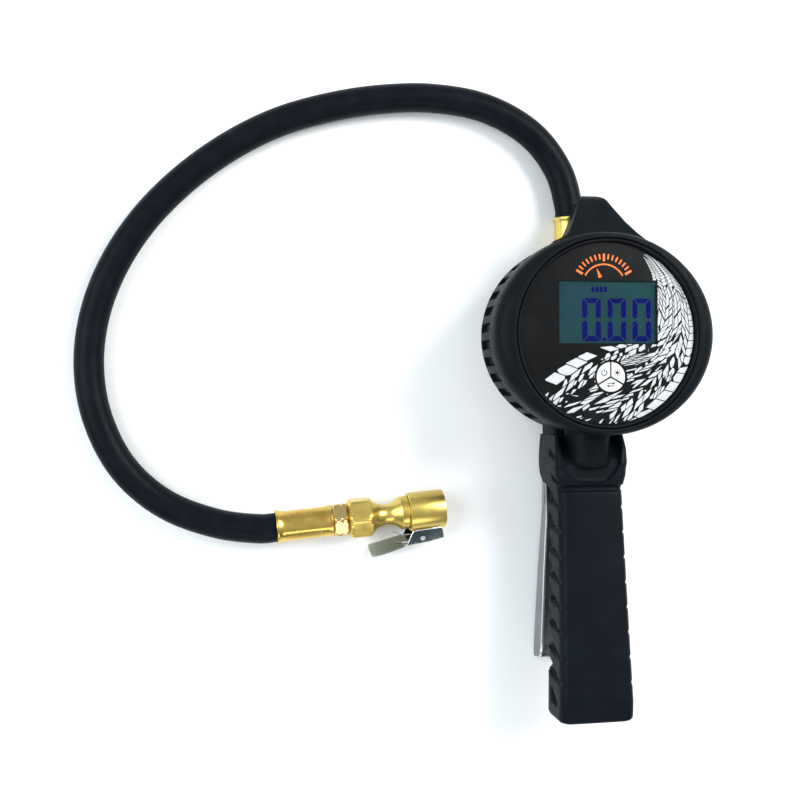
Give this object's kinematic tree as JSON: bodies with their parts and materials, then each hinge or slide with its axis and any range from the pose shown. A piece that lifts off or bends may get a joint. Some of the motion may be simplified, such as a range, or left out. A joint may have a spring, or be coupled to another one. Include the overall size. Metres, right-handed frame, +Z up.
{
  "type": "tyre inflator with gauge",
  "caption": "Hand-held tyre inflator: trigger valve in a grip, round digital gauge in a rubber boot, short hose and a clip-on brass chuck.",
  "frame": {"origin": "under the middle of the gun's own length and width, on the surface it lies on, without the hose and its end fittings", "axes": "+Y along the gun from the grip's end to the hanging loop, +Z up out of the display, +X to the display's right"},
  "size_m": [0.2925, 0.3059, 0.0662],
  "materials": {
    "black_casting": "satin",
    "black_grip": "satin",
    "boot_rubber": "satin",
    "hose_rubber": "satin",
    "seal_rubber": "matte",
    "chrome": "polished",
    "steel": "satin",
    "spring_steel": "satin",
    "brass": "turned",
    "bronze": "sintered",
    "copper_brass": "turned",
    "case_black": "fine texture",
    "face_black": "gloss",
    "clear_window": "clear",
    "display_glass": "reflective display",
    "board_green": "solder mask",
    "key_white": "satin",
    "cell_jacket": "satin"
  },
  "bodies": {
    "gun": {"valve_body": "black_casting", "inlet_filter": "bronze", "handle_sleeve": "black_grip", "valve_seat": "brass", "stem_oring": "seal_rubber", "valve_spring": "spring_steel", "valve_cap": "brass", "trigger_pin": "steel", "pin_rings": "spring_steel", "gauge_stem": "black_casting", "stem_seal": "seal_rubber", "gauge_case": "case_black", "boot": "boot_rubber", "gauge_bezel": "case_black", "front_plate": "case_black", "face_overlay": "face_black", "display_window": "clear_window", "display_module": "display_glass", "display_strips": "seal_rubber", "circuit_board": "board_green", "board_screws": "steel", "key_switches": "case_black", "pressure_sensor": "steel", "battery_tray": "case_black", "batteries": "cell_jacket", "battery_contacts": "spring_steel", "battery_cover": "case_black", "cover_screws": "steel", "hose_union": "brass", "gun_ferrule": "brass", "gun_barb": "brass", "hose": "hose_rubber", "end_ferrule": "brass", "end_barb": "brass", "swivel_nut": "copper_brass", "chuck_body": "brass", "chuck_head": "brass", "chuck_seal": "seal_rubber", "valve_depressor": "brass", "clip_pin": "steel", "clip_spring": "spring_steel"},
    "trigger": {"trigger_lever": "chrome"},
    "plunger": {"valve_plunger": "steel"},
    "power_button": {"power_key": "key_white"},
    "light_button": {"light_key": "key_white"},
    "unit_button": {"unit_key": "key_white"},
    "clip": {"clip_lever": "chrome"}
  },
  "joints": [
    {"name": "trigger_pivot", "type": "hinge", "parent": "gun", "child": "trigger", "pos_m": [0, 0.001, 0.017], "axis": [-1, 0, 0], "range_deg": [0, 7], "stiffness_Nm_per_rad": 3, "springref_deg": -20.05},
    {"name": "plunger_slide", "type": "slide", "parent": "gun", "child": "plunger", "axis": [0, 0, 1], "range_m": [0, 0.00196], "deforming": ["valve_spring"]},
    {"name": "power_press", "type": "slide", "parent": "gun", "child": "power_button", "axis": [0, 0, -1], "range_m": [0, 0.0005], "stiffness_N_per_m": 800, "springref_m": -0.0005},
    {"name": "light_press", "type": "slide", "parent": "gun", "child": "light_button", "axis": [0, 0, -1], "range_m": [0, 0.0005], "stiffness_N_per_m": 800, "springref_m": -0.0005},
    {"name": "unit_press", "type": "slide", "parent": "gun", "child": "unit_button", "axis": [0, 0, -1], "range_m": [0, 0.0005], "stiffness_N_per_m": 800, "springref_m": -0.0005},
    {"name": "clip_pivot", "type": "hinge", "parent": "gun", "child": "clip", "pos_m": [-0.0767, -0.03752, 0.00861], "axis": [-0.0269, 0.3078, -0.9511], "range_deg": [0, 13], "stiffness_Nm_per_rad": 0.1, "springref_deg": -20.05}
  ],
  "couplings": [
    {"joint": "plunger_slide", "follows": "trigger_pivot", "m_per_rad": 0.016}
  ]
}
